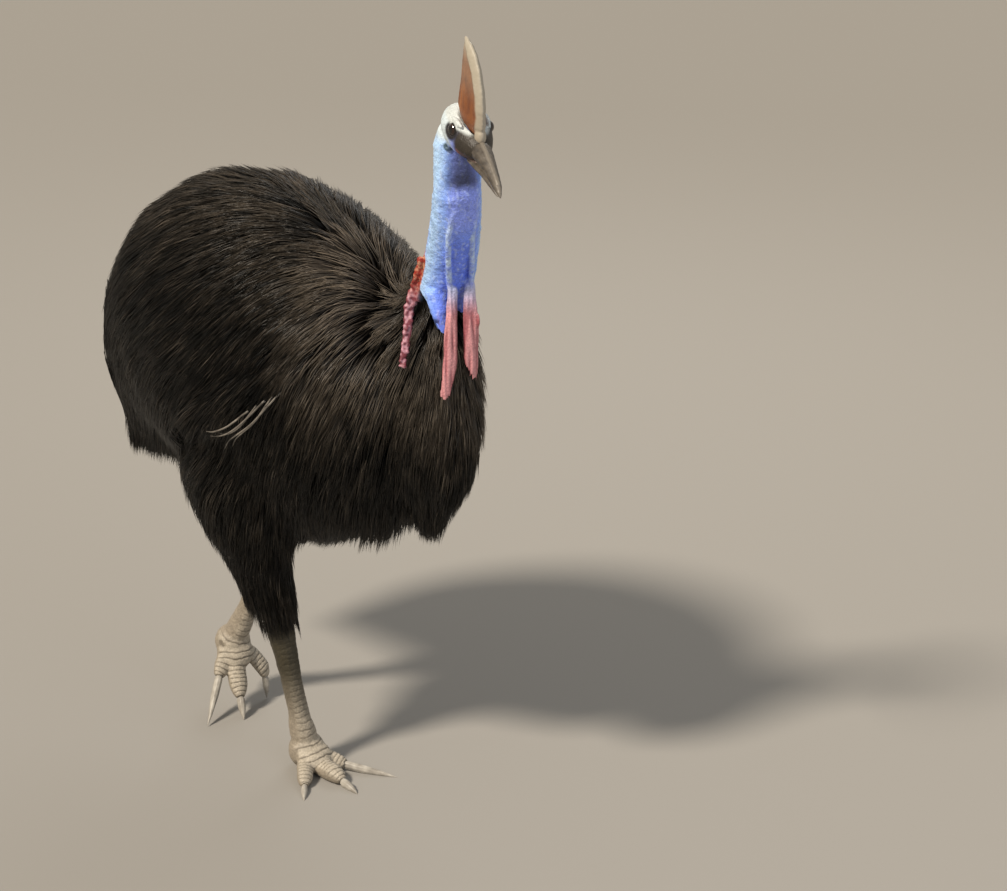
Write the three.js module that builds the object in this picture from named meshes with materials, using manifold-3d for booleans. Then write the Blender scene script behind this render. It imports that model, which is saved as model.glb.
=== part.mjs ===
// An adult southern cassowary at life size, walking: right foot flat, left foot pushing off on its toe tips.
// Millimetres, +X forward, +Y to the bird's left, +Z up. The origin is on the floor under the middle of the bird.
import * as THREE from "three";
import { mergeVertices } from "three/addons/utils/BufferGeometryUtils.js";
import Module from "manifold-3d";

const wasm = await Module();
wasm.setup();

// Driving dimensions
const GAP = 0.3; // kept between neighbours
const HEAD_AT = [586, -112, 1300]; // middle of the skull, level with the eyes
const HEAD_TURN = -28; // degrees from the body's heading, to the bird's right
const HEAD_DROP = 13; // degrees that the bill points down
const NECK_TURN = -20; // degrees, where the throat faces
const BARE_NECK_CUT = [430, -10, 1016]; // where bare skin meets feathers
const UP_THE_NECK = [0.45, -0.2, 1];
const TAIL_CUT = [-300, 0, 690]; // where the rump becomes the tail
const DOWN_THE_TAIL = [-1, 0, -0.45];
const RIGHT_MTP = [95, -55, 34]; // right foot, knuckle where the toes begin
const LEFT_MTP = [-222, 45, 126];
const RIGHT_ANKLE = [58, -88, 322];
const LEFT_ANKLE = [-92, 68, 388];
const MIDDLE_TOE = 122; // toe lengths without the claw
const INNER_TOE = 86;
const OUTER_TOE = 108;
const SHORT_CLAW = 46;
const DAGGER_CLAW = 108;
const RIGHT_FOOT = {
  plane: { heading: -6, pitch: 24 },
  middle: { clawPitch: 12, spread: 0 },
  inner: { clawPitch: 7, spread: 32 },
  outer: { clawPitch: 12, spread: -38 },
};
const LEFT_FOOT = {
  plane: { heading: -26, pitch: 53 },
  middle: { clawPitch: 50, spread: -4 },
  inner: { clawPitch: 44, spread: -34 },
  outer: { clawPitch: 88, spread: 48, drop: 10 },
};
const BALL_SIZE = [36, 35, 36]; // ball of the foot, along, across and through the foot
const SOLE_PRESS = 2.4; // how far soles and claw tips are pressed flat
const EYE_AT = [-8, 25, 14]; // left eye, in the head's frame
const EYE_RADIUS = 12.5;

// Rings: [x, y, z, half width, front, back]. Front is the belly on a level part and the throat on an upright one.
const TRUNK_RINGS = [
  [-408, 0, 545, 30, 30, 30],
  [-378, 0, 600, 88, 110, 105],
  [-300, 0, 690, 152, 205, 215],
  [-195, 0, 755, 205, 280, 302],
  [-70, 0, 788, 237, 335, 342],
  [70, 0, 792, 243, 350, 328],
  [200, 0, 795, 226, 322, 275],
  [305, 0, 800, 186, 256, 218],
  [380, 0, 810, 130, 165, 165],
  [420, 0, 815, 66, 90, 90],
];
const BREAST_RINGS = [
  [345, 0, 1008, 40, 40, 40],
  [372, -2, 955, 74, 62, 90],
  [388, -4, 880, 86, 70, 110],
  [396, -8, 790, 90, 78, 120],
  [394, -10, 705, 84, 78, 120],
  [378, -12, 622, 64, 62, 108],
  [358, -14, 546, 26, 28, 50],
];
const NECK_RINGS = [
  [300, 0, 860, 60, 60, 60],
  [352, 0, 915, 68, 62, 66],
  [400, -2, 966, 58, 52, 56],
  [432, -13, 1022, 48, 46, 47],
  [463, -31, 1075, 45, 43, 43],
  [491, -53, 1130, 43, 41, 40],
  [513, -71, 1182, 41, 39, 37],
  [520, -78, 1240, 39, 37, 36],
  [525, -84, 1290, 38, 33, 36],
  [538, -91, 1328, 20, 20, 20],
];
// Head parts are in the head's own frame: X along the bill, Z up through the casque, origin between the eyes
const HEAD_RINGS = [
  [-96, 0, 4, 14, 18, 14],
  [-76, 0, 4, 31, 36, 28],
  [-42, 0, 4, 38, 41, 31],
  [-6, 0, 3, 36, 38, 30],
  [24, 0, 1, 28, 30, 25],
  [48, 0, 0, 20, 20, 19],
  [60, 0, 0, 12, 12, 12],
];
const CASQUE_RINGS = [
  [-12, 0, 20, 12, 46, 44],
  [-10, 0, 29, 18, 56, 54],
  [-9, -1, 54, 17, 56, 52],
  [-13, -2, 86, 14, 51, 46],
  [-22, -4, 117, 11, 41, 36],
  [-33, -6, 141, 8, 26, 22],
  [-42, -8, 158, 4, 8, 8],
];
const UPPER_BILL_RINGS = [
  [30, 0, 2, 18, 17, 16],
  [50, 0, 1, 18, 17, 17],
  [80, 0, -4, 13.5, 13.5, 13],
  [108, 0, -11, 10, 10, 10],
  [134, 0, -20, 7.5, 7.5, 8],
  [151, 0, -30, 3, 3.5, 3.5],
];
const LOWER_BILL_RINGS = [
  [8, 0, -25, 21, 7, 7],
  [40, 0, -23.5, 16, 7.5, 7],
  [80, 0, -22, 11, 7, 6],
  [114, 0, -26, 7.5, 5.5, 5],
  [139, 0, -34, 2.5, 2.5, 2.5],
];
const WATTLE_RINGS = {
  wattle_right: [
    [458, -34, 1046, 6, 4, 6],
    [474, -44, 1014, 9, 6, 9],
    [481, -54, 955, 11, 6, 6],
    [483, -60, 890, 14, 6, 6],
    [484, -66, 832, 15, 6, 6],
    [483, -68, 802, 7, 4, 4],
  ],
  wattle_left: [
    [474, -14, 1056, 6, 4, 6],
    [488, -18, 1024, 9, 6, 9],
    [494, -20, 965, 15, 6, 6],
    [496, -22, 905, 14, 6, 6],
    [496, -24, 850, 15, 6, 6],
    [495, -25, 820, 7, 4, 4],
  ],
};
const WING_RINGS = [
  [250, -200, 822, 8, 20, 20],
  [190, -226, 796, 15, 44, 40],
  [90, -245, 750, 15, 48, 40],
  [0, -250, 702, 12, 38, 30],
  [-60, -250, 668, 6, 12, 12],
];
const RIGHT_THIGH_RINGS = [
  [10, -128, 760, 80, 90, 90],
  [20, -128, 650, 106, 150, 135],
  [26, -124, 560, 98, 145, 118],
  [36, -114, 475, 78, 112, 92],
  [46, -102, 405, 58, 76, 68],
  [54, -92, 355, 45, 52, 50],
  [58, -88, 322, 22, 24, 24],
];
const LEFT_THIGH_RINGS = [
  [-10, 126, 760, 80, 90, 90],
  [-26, 126, 650, 106, 140, 135],
  [-44, 116, 576, 94, 122, 118],
  [-62, 100, 515, 72, 88, 88],
  [-78, 82, 458, 53, 60, 60],
  [-88, 72, 416, 42, 44, 46],
  [-92, 68, 390, 21, 22, 23],
];

// Colours of the bird's parts in plain daylight
const PLUMAGE = { color: 0x17130f, roughness: 0.75 };
const BLUE_SKIN = { color: 0x3f62c9, roughness: 0.6 };
const PALE_SKIN = { color: 0x8fb4dc, roughness: 0.6 };
const CASQUE_HORN = { color: 0x8a4a26, roughness: 0.5 };
const BILL_HORN = { color: 0x5f574f, roughness: 0.45 };
const WATTLE_SKIN = { color: 0xc0485a, roughness: 0.55 };
const LEG_SCALES = { color: 0x857c6c, roughness: 0.65 };
const CLAW_HORN = { color: 0xa39d92, roughness: 0.5 };
const EYE_GLOSS = { color: 0x2a1408, roughness: 0.08 };

const model = new THREE.Group();
const degrees = THREE.MathUtils.degToRad;

// A closed form swept through rings. Its ends are rounder when blunt is low, and keen thins its front and back edges.
function loft(rings, { around = 16, along = 12, blunt = 5, turn = [0, 0], keen = 0, grow = 0 } = {}) {
  const spine = new THREE.CatmullRomCurve3(rings.map((ring) => new THREE.Vector3(ring[0], ring[1], ring[2])));
  const girth = new THREE.CatmullRomCurve3(rings.map((ring) => new THREE.Vector3(ring[3], ring[4], ring[5])));
  spine.curveType = "catmullrom";
  girth.curveType = "catmullrom";
  const form = new THREE.SphereGeometry(1, around, along);
  const places = form.attributes.position;
  const place = new THREE.Vector3();
  for (let i = 0; i < places.count; i += 1) {
    place.fromBufferAttribute(places, i);
    const share = THREE.MathUtils.clamp((1 + place.y) / 2, 0, 1);
    const angle = Math.atan2(place.z, place.x);
    const height = place.y;
    const swell = Math.sqrt(Math.max(0, 1 - Math.abs(place.y) ** blunt));
    const size = girth.getPoint(share);
    const heading = degrees(THREE.MathUtils.lerp(turn[0], turn[1], share));
    const way = spine.getTangent(share);
    const side = new THREE.Vector3(-Math.sin(heading), Math.cos(heading), 0);
    side.addScaledVector(way, -side.dot(way)).normalize();
    const front = new THREE.Vector3().crossVectors(side, way);
    const depth = (Math.sin(angle) > 0 ? size.y : size.z) + grow;
    const thin = Math.abs(Math.cos(angle)) ** keen;
    place.copy(spine.getPoint(share)).addScaledVector(way, grow * height);
    place.addScaledVector(side, (size.x * thin + grow) * swell * Math.cos(angle));
    place.addScaledVector(front, depth * swell * Math.sin(angle));
    places.setXYZ(i, place.x, place.y, place.z);
  }
  return form;
}

function solidOf(geometry) {
  const bare = geometry.clone();
  bare.deleteAttribute("normal");
  bare.deleteAttribute("uv");
  const merged = mergeVertices(bare, 1e-3);
  const vertProperties = new Float32Array(merged.attributes.position.array);
  const triVerts = new Uint32Array(merged.index.array);
  return new wasm.Manifold(new wasm.Mesh({ numProp: 3, vertProperties, triVerts }));
}

// The largest body of a cut form, without the slivers that a grazing cut can leave
function geometryOf(solid) {
  const bodies = solid.decompose().sort((a, b) => b.volume() - a.volume());
  const mesh = bodies[0].getMesh();
  const geometry = new THREE.BufferGeometry();
  geometry.setAttribute("position", new THREE.BufferAttribute(mesh.vertProperties.slice(), 3));
  geometry.setIndex(new THREE.BufferAttribute(mesh.triVerts.slice(), 1));
  return geometry;
}

// Half of space behind a plane, as a large block whose one face lies in it
function behind(point, normal, shift = 0) {
  const size = 4000;
  const block = new THREE.BoxGeometry(size, size, size);
  block.translate(0, 0, -size / 2 + shift);
  const facing = new THREE.Vector3(...normal).normalize();
  block.applyQuaternion(new THREE.Quaternion().setFromUnitVectors(new THREE.Vector3(0, 0, 1), facing));
  block.translate(...point);
  return solidOf(block);
}

function addPart(name, solid, finish, parent = model) {
  const geometry = geometryOf(solid);
  geometry.computeVertexNormals();
  const mesh = new THREE.Mesh(geometry, new THREE.MeshStandardMaterial(finish));
  mesh.name = name;
  parent.add(mesh);
  return mesh;
}

const mirrored = (rings) => rings.map(([x, y, ...rest]) => [x, -y, ...rest]);
const opposite = (normal) => normal.map((value) => -value);
const belowFloor = behind([0, 0, 0], [0, 0, 1]);

// Head, in its own turned and tilted group
const head = new THREE.Group();
head.position.set(...HEAD_AT);
head.rotation.set(0, degrees(HEAD_DROP), degrees(HEAD_TURN), "ZYX");
head.updateMatrixWorld(true);
model.add(head);

function makeHead() {
  const skullForm = { around: 18, along: 12, blunt: 3 };
  const casqueForm = { around: 16, along: 12, blunt: 5, keen: 0.35 };
  const upperForm = { around: 12, along: 10, blunt: 4 };
  const lowerForm = { around: 10, along: 8, blunt: 4 };
  const build = (rings, form, grow) => solidOf(loft(rings, { ...form, grow }));
  const skull = build(HEAD_RINGS, skullForm, 0);
  const upper = build(UPPER_BILL_RINGS, upperForm, 0);
  const casqueAround = build(CASQUE_RINGS, casqueForm, GAP);
  const upperAround = build(UPPER_BILL_RINGS, upperForm, GAP);
  const lowerAround = build(LOWER_BILL_RINGS, lowerForm, GAP);
  const eyeAt = (side, radius) => {
    const ball = new THREE.SphereGeometry(radius, 12, 8);
    ball.translate(EYE_AT[0], side * EYE_AT[1], EYE_AT[2]);
    return solidOf(ball);
  };
  let face = skull.subtract(casqueAround).subtract(upperAround).subtract(lowerAround);
  for (const side of [1, -1]) {
    face = face.subtract(eyeAt(side, EYE_RADIUS + GAP));
    addPart(side > 0 ? "eye_left" : "eye_right", eyeAt(side, EYE_RADIUS), EYE_GLOSS, head);
  }
  addPart("head", face, PALE_SKIN, head);
  addPart("casque", build(CASQUE_RINGS, casqueForm, 0).subtract(upperAround), CASQUE_HORN, head);
  addPart("bill_upper", upper.subtract(lowerAround), BILL_HORN, head);
  addPart("bill_lower", build(LOWER_BILL_RINGS, lowerForm, 0), BILL_HORN, head);
  return build(HEAD_RINGS, skullForm, GAP).add(casqueAround).add(upperAround).add(lowerAround)
    .transform(head.matrixWorld.elements);
}

// Trunk, breast and neck are cut from one another where their feathers meet
function makeBody(headAround) {
  const trunkForm = { around: 26, along: 18, blunt: 4 };
  const breastForm = { around: 16, along: 12, blunt: 4, turn: [NECK_TURN, NECK_TURN] };
  const neckForm = { around: 16, along: 16, blunt: 8, turn: [0, HEAD_TURN] };
  const trunk = solidOf(loft(TRUNK_RINGS, trunkForm));
  const trunkAround = solidOf(loft(TRUNK_RINGS, { ...trunkForm, grow: GAP }));
  const breastAround = solidOf(loft(BREAST_RINGS, { ...breastForm, grow: GAP }));
  const neck = solidOf(loft(NECK_RINGS, neckForm)).subtract(trunkAround).subtract(breastAround)
    .subtract(headAround);
  addPart("trunk", trunk.subtract(behind(TAIL_CUT, opposite(DOWN_THE_TAIL), GAP)), PLUMAGE);
  addPart("tail", trunk.subtract(behind(TAIL_CUT, DOWN_THE_TAIL)), PLUMAGE);
  addPart("breast", solidOf(loft(BREAST_RINGS, breastForm)).subtract(trunkAround), PLUMAGE);
  addPart("neck_feathered", neck.subtract(behind(BARE_NECK_CUT, opposite(UP_THE_NECK))), PLUMAGE);
  addPart("neck_bare", neck.subtract(behind(BARE_NECK_CUT, UP_THE_NECK, GAP)), BLUE_SKIN);
  const neckAround = solidOf(loft(NECK_RINGS, { ...neckForm, grow: GAP }));
  return { trunkAround, breastAround, neckAround };
}

// Two thin flaps hang from the throat in front of the breast
function makeWattles(neckAround, breastAround) {
  for (const [name, rings] of Object.entries(WATTLE_RINGS)) {
    const flap = solidOf(loft(rings, { around: 10, along: 10, blunt: 4, turn: [NECK_TURN, NECK_TURN] }));
    addPart(name, flap.subtract(neckAround).subtract(breastAround), WATTLE_SKIN);
  }
}

// The small wing lies flat on the flank, with only its outer face out of the coat
function makeWings(trunkAround) {
  const form = { around: 12, along: 8, blunt: 3 };
  addPart("wing_right", solidOf(loft(WING_RINGS, form)).subtract(trunkAround), PLUMAGE);
  addPart("wing_left", solidOf(loft(mirrored(WING_RINGS), form)).subtract(trunkAround), PLUMAGE);
}

// Legs: feathered thigh, bare scaly shank with the ball of the foot, three toes with claws
function shankRings(ankle, knuckle) {
  const at = (share) => ankle.map((value, axis) => THREE.MathUtils.lerp(value, knuckle[axis], share));
  return [
    [...at(-0.1), 16, 18, 18],
    [...at(0.04), 28, 30, 30],
    [...at(0.2), 24, 26, 26],
    [...at(0.5), 18.5, 21, 21],
    [...at(0.75), 19, 21, 21],
    [...at(0.92), 26, 24, 26],
    [...at(1.02), 27, 22, 26],
  ];
}

function wayTo(heading, pitch, spread) {
  const way = new THREE.Vector3(Math.cos(degrees(spread)), Math.sin(degrees(spread)), 0);
  return way.applyEuler(new THREE.Euler(0, degrees(pitch), degrees(heading), "ZYX"));
}

// Rings of a toe and its claw: the path leaves the knuckle in the foot's plane and bends to the claw's pitch.
// Spread turns the toe to the left of the foot's middle line, and drop steepens it, in degrees.
function digitRings({ knuckle, heading, pitch, spread, clawPitch, drop = 0, toe, claw, thick }) {
  const start = wayTo(heading, pitch + drop, spread);
  const finish = wayTo(heading + spread, clawPitch, 0);
  const step = 2; // along the path, in millimetres
  const place = new THREE.Vector3(...knuckle);
  const path = [place.clone()];
  for (let run = 0; run < toe + claw; run += step) {
    const bend = Math.min(1, run / toe);
    place.addScaledVector(start.clone().lerp(finish, bend ** 2).normalize(), step);
    path.push(place.clone());
  }
  const ring = (run, wide, deep) => {
    const spot = path[Math.round(run / step)];
    const height = Math.max(spot.z, deep - SOLE_PRESS);
    return [spot.x, spot.y, height, wide, deep, deep];
  };
  const pads = [
    [0, 1.05],
    [0.3, 1.05],
    [0.48, 0.94],
    [0.66, 0.98],
    [0.84, 0.86],
    [1, 0.62],
  ];
  const root = claw > SHORT_CLAW ? 0.56 : 0.5;
  const horn = [
    [-0.2, root * 0.8],
    [0.1, root],
    [0.55, root * 0.7],
    [1, root * 0.12],
  ];
  return {
    toeRings: pads.map(([share, size]) => ring(share * toe, thick * size, thick * size * 0.9)),
    clawRings: horn.map(([share, size]) => ring(toe + share * claw - step, thick * size * 0.85, thick * size)),
  };
}

function makeFoot(side, knuckle, foot, shankAround) {
  const digits = {
    middle: { ...foot.middle, toe: MIDDLE_TOE, claw: SHORT_CLAW, thick: 20 },
    inner: { ...foot.inner, toe: INNER_TOE, claw: DAGGER_CLAW, thick: 17.5 },
    outer: { ...foot.outer, toe: OUTER_TOE, claw: SHORT_CLAW, thick: 16.5 },
  };
  let taken = shankAround;
  for (const [name, digit] of Object.entries(digits)) {
    const { toeRings, clawRings } = digitRings({ knuckle, ...foot.plane, ...digit });
    const toeForm = { around: 10, along: 8, blunt: 4 };
    const clawForm = { around: 8, along: 6, blunt: 3 };
    const claw = solidOf(loft(clawRings, clawForm));
    const clawAround = solidOf(loft(clawRings, { ...clawForm, grow: GAP }));
    const toe = solidOf(loft(toeRings, toeForm)).subtract(taken).subtract(clawAround);
    addPart(`toe_${name}_${side}`, toe.subtract(belowFloor), LEG_SCALES);
    addPart(`claw_${name}_${side}`, claw.subtract(belowFloor), CLAW_HORN);
    taken = taken.add(solidOf(loft(toeRings, { ...toeForm, grow: GAP })));
  }
}

function makeLeg(side, thighRings, ankle, knuckle, foot, trunkAround) {
  const thighForm = { around: 18, along: 12, blunt: 5 };
  const shankForm = { around: 12, along: 12, blunt: 5, turn: [foot.plane.heading, foot.plane.heading] };
  const thigh = solidOf(loft(thighRings, thighForm)).subtract(trunkAround);
  const thighAround = solidOf(loft(thighRings, { ...thighForm, grow: GAP }));
  const ball = (grow) => {
    const form = new THREE.SphereGeometry(1, 12, 8);
    form.scale(BALL_SIZE[0] + grow, BALL_SIZE[1] + grow, BALL_SIZE[2] + grow);
    form.applyMatrix4(new THREE.Matrix4().makeRotationFromEuler(
      new THREE.Euler(0, degrees(foot.plane.pitch), degrees(foot.plane.heading), "ZYX")));
    form.translate(...knuckle);
    return solidOf(form);
  };
  const rings = shankRings(ankle, knuckle);
  const shank = solidOf(loft(rings, shankForm)).add(ball(0)).subtract(thighAround);
  addPart(`thigh_${side}`, thigh, PLUMAGE);
  addPart(`shank_${side}`, shank.subtract(belowFloor), LEG_SCALES);
  makeFoot(side, knuckle, foot, solidOf(loft(rings, { ...shankForm, grow: GAP })).add(ball(GAP)));
}

const headAround = makeHead();
const { trunkAround, breastAround, neckAround } = makeBody(headAround);
makeWattles(neckAround, breastAround);
makeWings(trunkAround);
makeLeg("right", RIGHT_THIGH_RINGS, RIGHT_ANKLE, RIGHT_MTP, RIGHT_FOOT, trunkAround);
makeLeg("left", LEFT_THIGH_RINGS, LEFT_ANKLE, LEFT_MTP, LEFT_FOOT, trunkAround);

// The origin goes under the middle of the whole bird, on the floor
const extent = new THREE.Box3().setFromObject(model, true);
const middle = extent.getCenter(new THREE.Vector3());
model.position.set(-middle.x, -middle.y, -extent.min.z);

export default model;
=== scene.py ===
# A southern cassowary as a life-size museum model: bare head and neck, and a coat of hair-like feathers
import math

import bpy
import numpy as np
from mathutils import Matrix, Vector, noise
from mathutils.bvhtree import BVHTree


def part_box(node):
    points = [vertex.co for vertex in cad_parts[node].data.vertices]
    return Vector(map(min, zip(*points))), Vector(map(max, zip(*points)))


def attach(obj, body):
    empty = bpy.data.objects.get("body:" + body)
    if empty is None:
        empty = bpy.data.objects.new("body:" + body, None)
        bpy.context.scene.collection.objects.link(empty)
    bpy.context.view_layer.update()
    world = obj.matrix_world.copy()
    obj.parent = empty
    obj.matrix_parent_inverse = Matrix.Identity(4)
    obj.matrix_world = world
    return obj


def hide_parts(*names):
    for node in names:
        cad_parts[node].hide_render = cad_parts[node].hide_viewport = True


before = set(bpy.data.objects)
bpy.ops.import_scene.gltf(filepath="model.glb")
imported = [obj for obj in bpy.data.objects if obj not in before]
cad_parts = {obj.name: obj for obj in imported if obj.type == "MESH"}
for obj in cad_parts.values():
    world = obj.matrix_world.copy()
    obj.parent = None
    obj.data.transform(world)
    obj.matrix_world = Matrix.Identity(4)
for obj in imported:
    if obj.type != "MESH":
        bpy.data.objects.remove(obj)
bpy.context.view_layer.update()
rng = np.random.default_rng(7)

# Places are millimetres in the bird's own frame, as in the CAD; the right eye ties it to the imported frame
EYE_IN_BIRD = np.array([570.16, -131.89, 1315.44])
EYE_IN_HEAD = np.array([-8.0, -25.0, 14.0])
HEAD_AXES = np.array([[0.8603, -0.4574, -0.2250], [0.4695, 0.8829, 0.0], [0.1986, -0.1056, 0.9744]])
EYE_RADIUS = 12.5

eye_low, eye_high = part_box("eye_right")
EYE_AT = np.array((eye_low + eye_high) / 2) * 1000
SHIFT = EYE_AT - EYE_IN_BIRD
HEAD_AT = EYE_AT - EYE_IN_HEAD @ HEAD_AXES

# Camera, from the right eye, in metres: it looks down on the bird from its right front
CAMERA_FROM_EYE = Vector((2.848, -2.946, 0.985))
CAMERA_YAW = 132.98
CAMERA_PITCH = 20.32
LENS = 94.74

# Studio light
KEY_WAY = Vector((0.4, 3.0, -3.3))
KEY_STRENGTH = 4.3
KEY_ANGLE = 9.0
SKY_STRENGTH = 0.56

# The coat, in millimetres
COAT_DEPTH = 34.0
BODY_STRAND = 128.0
RUMP_STRAND_MORE = 60.0
LOCKS = 9600
STRANDS_IN_LOCK = 9
STEPS = 6
STRAND_RINGS = 4
STRAND_WIDTH = (1.6, 3.0)
LOCK_SPREAD = 7.5
LOCK_THICKNESS = 2.2
PIECE_STRANDS = 12000
UV_PATCH = 0.003
RUMP_HEM = 525.0
BREAST_HEM = 535.0
HEM_FRINGE = 38.0
HANGING = np.array([-0.12, 0.0, -1.0])
SHELL_PITCH = 12.0
SHELL_MARGIN = 60.0
SINK_ROUNDS = 14
SINK_STEP = 4.0
QUILLS = 5

# Cells of the voxel remesh, in millimetres, and rounds of smoothing
BODY_MESH = (10, 5)
FACE_MESH = (1.7, 8)
FOOT_MESH = (1.9, 12)
CASQUE_MESH = (1.5, 8)
BILL_MESH = (0.9, 4)
CLAW_MESH = (1.1, 4)

PLUMED = [
    "trunk", "tail", "breast", "neck_feathered", "thigh_left", "thigh_right", "wing_left", "wing_right"
]
LEG_NODES = ["shank", "toe_middle", "toe_inner", "toe_outer"]


def linear(code):
    """Linear colour of an sRGB hex code."""
    channels = [int(code[i:i + 2], 16) / 255 for i in (1, 3, 5)]
    return np.array([c / 12.92 if c <= 0.04045 else ((c + 0.055) / 1.055) ** 2.4 for c in channels])


def rgba(code):
    """Linear colour of an sRGB hex code, with full cover."""
    return (*linear(code), 1.0)


def smooth(value, start, end):
    """0 at start and 1 at end, with an even ease between."""
    share = np.clip((value - start) / (end - start), 0, 1)
    return share * share * (3 - 2 * share)


def mixed(first, second, share):
    """The first places or colours where the share is 0, the second where it is 1."""
    return first + (second - first) * share[:, None]


def blend(colours, code, mask):
    """The colours turned to the coded one where the mask is 1."""
    return mixed(colours, linear(code), mask)


def plain(code, points):
    """The same colour at every place."""
    return np.tile(linear(code), (len(points), 1))


def lengths_of(vectors):
    """The length of each vector."""
    return np.linalg.norm(vectors, axis=1)


def unit(vectors):
    """Vectors of length 1 the same way."""
    return vectors / np.maximum(np.linalg.norm(vectors, axis=-1, keepdims=True), 1e-9)


def bird(points):
    """Packed metres to the bird's millimetres."""
    return points * 1000 - SHIFT


def packed(points):
    """The bird's millimetres to packed metres."""
    return (np.asarray(points, float) + SHIFT) / 1000


def in_head(points):
    """The bird's millimetres to the head's frame: X along the bill, Y left, Z up through the casque."""
    return (points + SHIFT - HEAD_AT) @ HEAD_AXES.T


def from_head(points):
    """The head's frame to the bird's millimetres."""
    return np.asarray(points, float) @ HEAD_AXES + HEAD_AT - SHIFT


def grain(points, size, stretch=(1, 1, 1), seed=0.0):
    """Smooth noise from -1 to 1 in cells of that size in millimetres, longer where stretch is more."""
    scaled = points / (size * np.array(stretch)) + seed
    return np.array([noise.noise(Vector(p)) for p in scaled])


# Mesh helpers
def link_object(name, data):
    """A new object of that data, in the scene."""
    made = bpy.data.objects.new(name, data)
    bpy.context.scene.collection.objects.link(made)
    return made


def make_object(name, points, faces, finishes=(), body="root"):
    """A smooth mesh object from millimetre points in the bird's frame, riding on a body."""
    mesh = bpy.data.meshes.new(name)
    mesh.from_pydata(packed(points).tolist(), [], [list(map(int, face)) for face in faces])
    mesh.shade_smooth()
    for finish in finishes:
        mesh.materials.append(finish)
    made = link_object(name, mesh)
    if body:
        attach(made, body)
    return made


def set_values(mesh, name, values):
    """Stores a number or a colour for each vertex, for the materials to read."""
    values = np.asarray(values, np.float32)
    if values.ndim == 1:
        mesh.attributes.new(name, "FLOAT", "POINT").data.foreach_set("value", values)
        return
    full = np.ones((len(values), 4), np.float32)
    full[:, :3] = values
    mesh.attributes.new(name, "FLOAT_COLOR", "POINT").data.foreach_set("color", full.ravel())


def triples(items, name):
    """Three numbers of each item, such as the place of each vertex."""
    values = np.empty(len(items) * 3, np.float32)
    items.foreach_get(name, values)
    return values.reshape(-1, 3).astype(float)


def node_form(name):
    """Points and faces of a CAD node."""
    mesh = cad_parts[name].data
    return bird(triples(mesh.vertices, "co")), [list(face.vertices) for face in mesh.polygons]


def closed_faces(rows, around):
    """Faces of a tube of that many rings, closed at its two ends by the last two points."""
    sides = [(c, (c + 1) % around) for c in range(around)]
    last = (rows - 1) * around
    faces = [
        [row + c, row + d, row + around + d, row + around + c]
        for row in range(0, last, around)
        for c, d in sides
    ]
    faces += [[last + around, d, c] for c, d in sides]
    return faces + [[last + around + 1, last + c, last + d] for c, d in sides]


def loft(rings, around=24, along=40):
    """A closed tube through rings of place, half width, half depth and side direction."""
    rings = np.array(rings, float)
    stops = np.linspace(0, len(rings) - 1, along)
    columns = [np.interp(stops, np.arange(len(rings)), rings[:, k]) for k in range(rings.shape[1])]
    for _ in range(3):
        for column in columns:
            column[1:-1] = (column[:-2] + 2 * column[1:-1] + column[2:]) / 4
    spine = np.stack(columns[:3], 1)
    way = unit(np.gradient(spine, axis=0))
    side = np.stack(columns[5:8], 1)
    side = unit(side - way * (side * way).sum(1, keepdims=True))
    front = np.cross(side, way)
    angle = np.linspace(0, 2 * np.pi, around, endpoint=False)
    points = (
        spine[:, None]
        + side[:, None] * (columns[3][:, None] * np.cos(angle))[..., None]
        + front[:, None] * (columns[4][:, None] * np.sin(angle))[..., None]
    ).reshape(-1, 3)
    return np.vstack([points, spine[0], spine[-1]]), closed_faces(along, around)


def ball(centre, radii, axes=HEAD_AXES, around=16, along=10):
    """An ellipsoid with its radii along the given axes."""
    turn = np.linspace(0, 2 * np.pi, around, endpoint=False)
    rise = np.linspace(0, np.pi, along + 1)[1:-1]
    shell = [[math.sin(a) * math.cos(t), math.sin(a) * math.sin(t), math.cos(a)] for a in rise for t in turn]
    points = np.array(shell + [[0, 0, 1], [0, 0, -1]]) * radii @ axes + centre
    return points, [face[:1] + face[:0:-1] for face in closed_faces(len(rise), around)]


def joined(forms):
    """All the forms as one list of points and one of faces, still apart from each other."""
    points, faces = [], []
    count = 0
    for form_points, form_faces in forms:
        points.append(form_points)
        faces += [[i + count for i in face] for face in form_faces]
        count += len(form_points)
    return np.vstack(points), faces


def fused(forms, voxel, rounds):
    """One closed skin round all the forms, by voxel remesh, smoothed by that many rounds."""
    made = make_object("fusing", *joined(forms), body=None)
    remesh = made.modifiers.new("remesh", "REMESH")
    remesh.mode = "VOXEL"
    remesh.voxel_size = voxel / 1000
    soften = made.modifiers.new("smooth", "SMOOTH")
    soften.factor = 0.5
    soften.iterations = rounds
    result = made.evaluated_get(bpy.context.evaluated_depsgraph_get()).to_mesh()
    points = bird(triples(result.vertices, "co"))
    facing = triples(result.vertex_normals, "vector")
    corners = np.empty(len(result.loops), np.int32)
    result.loops.foreach_get("vertex_index", corners)
    made.to_mesh_clear()
    bpy.data.objects.remove(made)
    return points, corners.reshape(-1, 4), facing


def near_line(points, line):
    """Distance from each point to a line of places, and how far along the line that is, from 0 to 1."""
    line = np.array(line, float)
    lengths = lengths_of(np.diff(line, axis=0))
    best = np.full(len(points), 1e9)
    share = np.zeros(len(points))
    run = 0.0
    for start, end, length in zip(line[:-1], line[1:], lengths):
        along = np.clip((points - start) @ (end - start) / length ** 2, 0, 1)
        gap = lengths_of(points - start - along[:, None] * (end - start))
        closer = gap < best
        best = np.where(closer, gap, best)
        share = np.where(closer, (run + along * length) / lengths.sum(), share)
        run += length
    return best, share


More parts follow.
